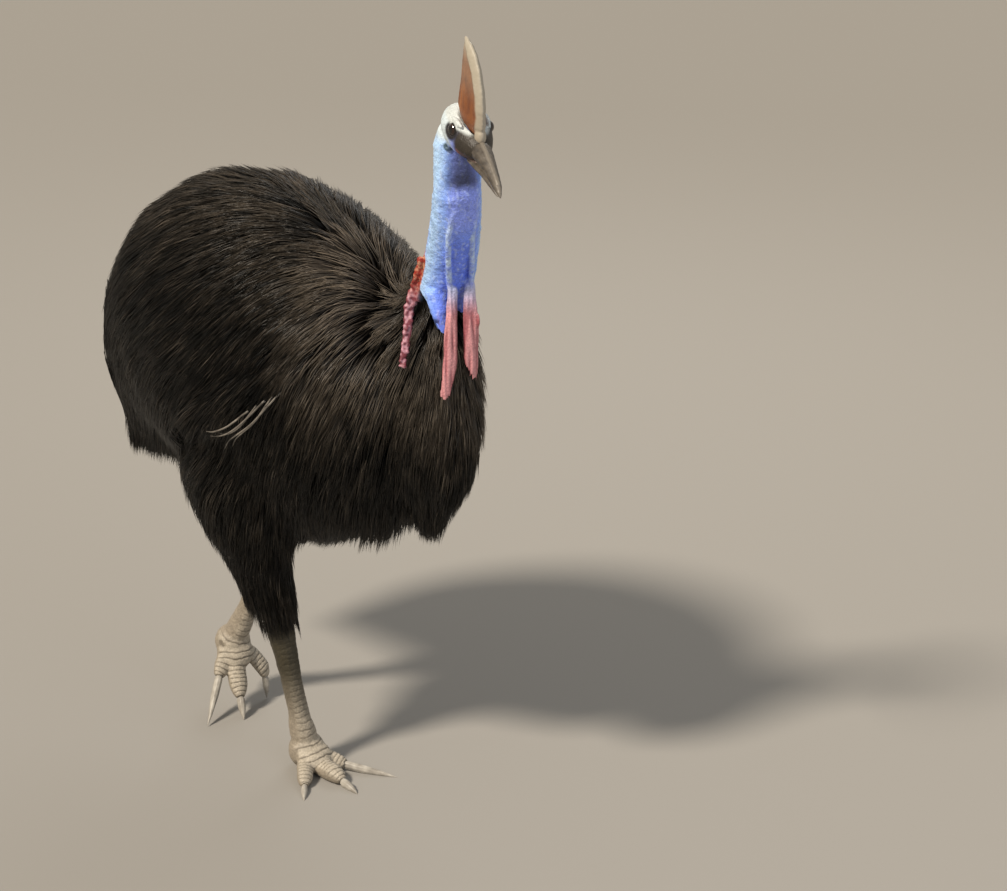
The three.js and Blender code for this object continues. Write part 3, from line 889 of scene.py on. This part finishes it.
def make_bare_front(shell):
    """Head, bare neck and wattles as one fine skin, with lids, brow, ear, throat ridges and nape cords."""
    nodes = ["head", "neck_bare", "neck_feathered", "wattle_left", "wattle_right"]
    forms = [node_form(name) for name in nodes + ["bill_upper", "bill_lower"]]
    for side in (1, -1):
        forms += eyelids(side)
        ear = from_head((EAR * [1, side, 1])[None])[0]
        forms.append(ball(ear, [7, 5, 8]))
    forms += [tube(THROAT_RIDGE_RIGHT, 5.0), tube(THROAT_RIDGE_LEFT, 5.0)]
    forms += rope(NAPE_RIGHT, 6.0, 4) + rope(NAPE_LEFT, 6.0, 5)
    forms.append(ball(np.array([501, -13, 956]), [9, 4, 13], np.eye(3)))
    for line, widths in ((LOBE_RIGHT, (22, 17, 5)), (LOBE_MIDDLE, (20, 13, 4))):
        forms.append(loft([[*p, w, w * 0.7, 0.4, 0.9, 0] for p, w in zip(line, widths)], along=30))
    points, faces, facing = fused(forms, *FACE_MESH)
    x, y, z = in_head(points).T
    neck = smooth(z, -20, -60)
    naked = bare(points)
    cord_gap = cord_gaps(points)
    wattle = wattle_share(points)
    covered = (1 - naked) * (1 - wattle)
    under_coat = covered * smooth(cord_gap, 11, 17)
    points = mixed(points, shell.sunk(points, coat_depth(points) + 5), under_coat)
    # Soft bumps on the neck, finer ones all over, pleats on the wattles, and the ear's opening
    push = -1.6 * smooth(x, 47, 56)
    skin = (1 - under_coat) * (1 - wattle)
    push += 0.8 * grain(points, 5, (1.3, 1.3, 0.9)) * neck * skin
    push += 1.2 * grain(points, 15, (0.8, 0.8, 1.0), 4.0) * neck * skin
    push += 0.35 * grain(points, 3.2, seed=9.0) * skin
    pleats = grain(points, 11, (0.5, 0.5, 6.0), 2.0)
    push += 2.6 * pleats * wattle
    ear_gap = np.hypot(x - EAR[0] - 1, z - EAR[2])
    push -= 5.5 * smooth(ear_gap, 4.5, 1.5) * smooth(np.abs(y), 12, 18)
    points = points + facing * push[:, None]
    tint = mixed(head_colour(points), wattle_colour(points, facing, pleats), wattle)
    tint = blend(tint, "#14100d", covered * smooth(cord_gap, 12, 14))
    kind = np.where(wattle[faces].mean(1) > 0.5, 2, 1)
    kind = np.where(under_coat[faces].mean(1) > 0.5, 0, kind)
    # The skin inside the bill is drawn in, well clear of the horn
    sheath = in_head(points)
    inside_bill = 1 - 0.6 * smooth(sheath[:, 0], 50, 66)[:, None]
    points = from_head(BILL_ROOT + (sheath - BILL_ROOT) * inside_bill)
    return points, faces, tint, kind


def make_foot_skin(side):
    """One bare leg and foot: overlapping plates down its front and over the toes, small scales elsewhere."""
    knuckle, ankle = np.array(KNUCKLES[side], float), np.array(ANKLES[side], float)
    shank = unit(ankle - knuckle)
    pitch, heading = np.radians(FOOT_PITCH[side]), np.radians(FOOT_HEADING[side])
    level = np.array([math.cos(heading), math.sin(heading), 0])
    top = level * math.sin(pitch) + [0, 0, math.cos(pitch)]
    toward = level * math.cos(pitch) - [0, 0, math.sin(pitch)]
    across = np.cross(top, toward)
    forms = [node_form(f"{name}_{side}") for name in LEG_NODES]
    hand = np.array([toward, across, top])
    forms.append(ball(knuckle + toward * 22 + top * 3, [40, 36, 24], hand))
    heel = np.array([shank, across, np.cross(shank, across)])
    forms.append(ball(knuckle + shank * 34, [60, 24, 27], heel))
    points, faces, facing = fused(forms, *FOOT_MESH)
    # Plates cross the front of the shank and the top of each toe, at even distances from the knuckle
    reach = lengths_of(points - knuckle)
    rise = (points - knuckle) @ shank
    on_shank = smooth(rise, 12, 32)
    ahead = unit(np.cross([0, 1.0, 0], shank))
    on_top = (facing @ ahead) * on_shank + (facing @ top) * (1 - on_shank)
    plate = smooth(on_top, 0.2, 0.6)
    spacing = 8.2 + 2.8 * on_shank
    phase = (reach / spacing + 0.35 * grain(points, 26) + 0.12 * grain(points, 9, seed=2.0)) % 1.0
    groove = smooth(np.abs(phase - 0.5), 0.36, 0.47)
    plate = plate * (0.55 + 0.45 * smooth(reach, 18, 44)) * (1 - 0.35 * on_shank)
    push = plate * (0.8 * (1 - groove) + 0.4 * phase) - 0.7 * groove * plate
    push += (1 - plate) * 0.6 * grain(points, 5.0) + 1.0 * grain(points, 22, seed=5.0)
    sole = smooth(points[:, 2], 1.5, 6)
    points = points + facing * (push * sole)[:, None]
    points[:, 2] = np.maximum(points[:, 2], 0)
    tint = plain("#8f8576", points)
    tint = blend(tint, "#b5ac9c", 0.7 * plate * (1 - groove))
    # painted shade: the grooves between the plates are coloured darker
    tint = blend(tint, "#4a4338", 0.6 * groove * plate)
    # painted shade: the right shank, which stands in shadow, is coloured far darker than the left shank's
    # own colour below
    tint = blend(tint, "#2e2814", 0.95 * smooth(rise, 30, 190) * (side == "right"))
    tint = blend(tint, "#6f6655", 0.6 * smooth(rise, 60, 200) * (side == "left"))
    return points, faces, tint, np.full(len(faces), 3)


def make_skin():
    """The bird's skin as one object: inside the coat on the body, bare on head, neck, wattles and feet."""
    points, faces, _ = fused([node_form(name) for name in PLUMED], *BODY_MESH)
    shell = Shell(points, faces)
    under = shell.sunk(points, coat_depth(points) + 4)
    dark = plain("#14100d", points)
    layers = [(under, faces, dark, np.zeros(len(faces), int)), make_bare_front(shell)]
    layers += [make_foot_skin(side) for side in ("left", "right")]
    starts = np.cumsum([0] + [len(layer[0]) for layer in layers])
    all_faces = np.vstack([layer[1] + start for layer, start in zip(layers, starts)])
    finishes = [
        bare_skin("down_covered_skin", 4.0, 6.0, 1.0, 0.9),
        bare_skin("pebbled_blue_skin", 2.6, 7.0, 1.0, 0.5),
        bare_skin("folded_wattle_skin", 3.2, 9.0, 1.2, 0.45),
        bare_skin("scaly_leg_skin", 3.6, 5.0, 1.0, 0.6),
    ]
    skin = make_object("skin", np.vstack([layer[0] for layer in layers]), all_faces, finishes)
    set_values(skin.data, "tint", np.vstack([layer[2] for layer in layers]))
    kinds = np.concatenate([layer[3] for layer in layers]).astype(np.int32)
    skin.data.polygons.foreach_set("material_index", kinds)
    legs = [f"{name}_{side}" for name in LEG_NODES for side in ("left", "right")]
    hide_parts(*PLUMED, "neck_bare", "head", "wattle_left", "wattle_right", *legs)
    return shell, points, faces


# Horn and eyes
def make_casque(finish):
    """The casque: a tall keel with a rounded pale front ridge and slightly hollow, wrinkled sides."""
    foot = ball(from_head([[37, 0, 21]])[0], [12, 8.5, 15])
    points, faces, facing = fused([node_form("casque"), foot], *CASQUE_MESH)
    x, _, z = in_head(points).T
    levels = [20, 54, 86, 117, 141, 158]
    middle = np.interp(z, levels, [-12, -9, -13, -22, -33, -42])
    front = np.interp(z, levels, [44, 47, 38, 19, -7, -34])
    edge = front - x
    ridge = smooth(edge, 15, 8)
    hollow = smooth(edge, 8, 22) * smooth(x - middle, -44, -26)
    push = -1.8 * hollow + 0.8 * ridge
    push += 0.7 * grain(points, 13, (0.6, 0.6, 2.2), 1.0) + 0.3 * grain(points, 4, seed=2.0)
    made = make_object("casque_horn", points + facing * push[:, None], faces, [finish])
    top = smooth(z, 118, 160)
    set_values(made.data, "ridge", np.clip(0.92 * ridge + 0.75 * top + 0.25 * smooth(z, 60, 110), 0, 1))
    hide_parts("casque")


def make_bill(finish):
    """The two halves of the bill: keeled above, with a slit nostril in a shallow groove and a painted
    highlight along the top.
    """
    for part in ("upper", "lower"):
        points, faces, facing = fused([node_form(f"bill_{part}")], *BILL_MESH)
        x, y, z = in_head(points).T
        push = 0.25 * grain(points, 3.5, (2.5, 1, 1))
        if part == "upper":
            line = np.interp(x, [50, 80, 108, 134], [1, -4, -11, -20])
            push += 1.6 * smooth(np.abs(y), 5, 1.5) * smooth(z - line, 4, 9)
            groove = smooth(np.abs(z - line + 2), 5, 2.5) * smooth(x, 60, 74) * smooth(x, 122, 104)
            slit = smooth(np.abs(z - line + 2 + 0.1 * (x - 98)), 2.2, 1.0) * smooth(np.abs(x - 98), 9, 6)
            push -= 1.1 * groove + 2.4 * slit
        made = make_object(f"bill_{part}_horn", points + facing * push[:, None], faces, [finish])
        tip = smooth(x, 118, 150)
        # painted highlight: the narrow top of the keel is coloured paler where it faces up; the paler tip is
        # the horn's own colour
        ridge = smooth(np.abs(y), 6, 2) * smooth(facing @ HEAD_AXES[2], 0.3, 0.8)
        set_values(made.data, "ridge", np.clip(0.5 * tip + 0.7 * ridge, 0, 1))
        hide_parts(f"bill_{part}")


def make_claws(finish):
    """Three claws a foot, faintly uneven but flat where they touch the floor."""
    for side in ("left", "right"):
        for toe in ("middle", "inner", "outer"):
            points, faces, facing = fused([node_form(f"claw_{toe}_{side}")], *CLAW_MESH)
            push = 0.25 * grain(points, 4, (2, 2, 2)) * smooth(points[:, 2], 1, 4)
            made = make_object(f"claw_{toe}_{side}_horn", points + facing * push[:, None], faces, [finish])
            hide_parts(f"claw_{toe}_{side}")


def make_eyes(finish):
    """Eyeballs with a slightly raised cornea; gaze is 1 at the middle of the pupil."""
    for side, name in ((1, "left"), (-1, "right")):
        low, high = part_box(f"eye_{name}")
        centre = np.array((low + high) / 2) * 1000 - SHIFT
        out = unit(np.array([0.16, side * 0.97, 0.12])) @ HEAD_AXES
        points, faces = ball(centre, [EYE_RADIUS] * 3, around=64, along=40)
        faced = unit(points - centre) @ out
        points = points + (points - centre) * (0.05 * smooth(faced, 0.7, 1.0))[:, None]
        made = make_object(f"eyeball_{name}", points, faces, [finish])
        set_values(made.data, "gaze", np.clip(faced, 0, 1) ** 2)
        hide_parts(f"eye_{name}")


def make_quills(shell, finish):
    """Bare wing quills: long stiff shafts that lie on the flank and stand out of the coat."""
    for side, name in ((-1, "right"), (1, "left")):
        forms = []
        for number in range(QUILLS):
            start = np.array([222 - 16 * number, side * 205, 812 - 9 * number])
            end = np.array([96 - 4 * number + 30 * (number % 2), side * 262, 668 + 12 * number])
            bow = (14 - 6 * number) * np.array([1, 0, 1])
            run = np.linspace(0, 1, 12)
            line = np.array([start + (end - start) * t + bow * t * (1 - t) * 2 for t in run])
            height = np.interp(run, [0, 0.3, 0.75, 1], [-12, 1, 4, -1])
            for _ in range(3):
                line += shell.facing(line) * (height - shell.outside(line))[:, None]
            widths = np.interp(run, [0, 0.75, 1], [1.9, 1.4, 0.4])
            forms.append(loft([[*p, w, w, 0, 0, 1] for p, w in zip(line, widths)], around=10, along=30))
        made = make_object(f"wing_quills_{name}", *joined(forms), [finish])


# Surroundings
def make_stage():
    """A wide floor in matt pale paint, which takes the shadow and shows no reflection."""
    mesh = bpy.data.meshes.new("floor")
    mesh.from_pydata([(-40, -40, 0), (40, -40, 0), (40, 40, 0), (-40, 40, 0)], [], [(0, 1, 2, 3)])
    floor = link_object("floor", mesh)
    made, _, shader = material("matt_floor_paint")
    shader.inputs["Base Color"].default_value = rgba("#918e89")
    shader.inputs["Roughness"].default_value = 0.85
    mesh.materials.append(made)


def make_light(name, place, aim, size, power, colour):
    """A square lamp that faces a place."""
    lamp = bpy.data.lights.new(name, "AREA")
    lamp.size = size
    lamp.energy = power
    lamp.color = tuple(linear(colour))
    made = link_object(name, lamp)
    made.location = place
    made.rotation_euler = (Vector(aim) - Vector(place)).to_track_quat("-Z", "Y").to_euler()


def make_studio():
    """Soft key from the upper left, a weak fill from the right, and a light behind for the coat's rim."""
    key = bpy.data.lights.new("key", "SUN")
    key.energy = KEY_STRENGTH
    key.angle = math.radians(KEY_ANGLE)
    key.color = tuple(linear("#fff3e2"))
    link_object("key", key).rotation_euler = KEY_WAY.to_track_quat("-Z", "Y").to_euler()
    make_light("fill", (3.6, -0.6, 2.0), (0, 0, 0.7), 2.5, 30, "#e8f0ff")
    make_light("back", (-1.6, 2.6, 3.2), (0, 0, 0.9), 2.0, 35, "#ffffff")
    world = bpy.data.worlds.new("studio")
    world.use_nodes = True
    background = world.node_tree.nodes["Background"]
    background.inputs["Color"].default_value = rgba("#d3cec5")
    background.inputs["Strength"].default_value = SKY_STRENGTH
    bpy.context.scene.world = world
    bpy.context.scene.view_settings.view_transform = "Standard"


def make_camera():
    """The camera, placed from the right eye."""
    yaw, pitch = math.radians(CAMERA_YAW), math.radians(CAMERA_PITCH)
    gaze = Vector((math.cos(yaw) * math.cos(pitch), math.sin(yaw) * math.cos(pitch), -math.sin(pitch)))
    data = bpy.data.cameras.new("camera")
    data.lens = LENS
    data.sensor_width = 36
    camera = link_object("camera", data)
    camera.location = Vector(EYE_AT / 1000) + CAMERA_FROM_EYE
    camera.rotation_euler = gaze.to_track_quat("-Z", "Y").to_euler()
    bpy.context.scene.camera = camera


make_stage()
make_studio()
make_camera()
shell, coat_points, coat_faces = make_skin()
make_casque(horn("casque_keratin", "#552711", "#91592f", (60, 60, 22), 0.5, ridge_pale="#a59d8d"))
make_bill(horn("bill_keratin", "#37322d", "#635b51", (70, 70, 130), 0.4, ridge_pale="#7b746a"))
make_claws(horn("claw_keratin", "#7d776e", "#b0aba1", (90, 90, 60), 0.45))
make_eyes(wet_eye())
make_quills(shell, horn("quill_keratin", "#37322d", "#8c857b", (40, 90, 90), 0.4))
make_coat(shell, coat_points, coat_faces, barbless_feather())
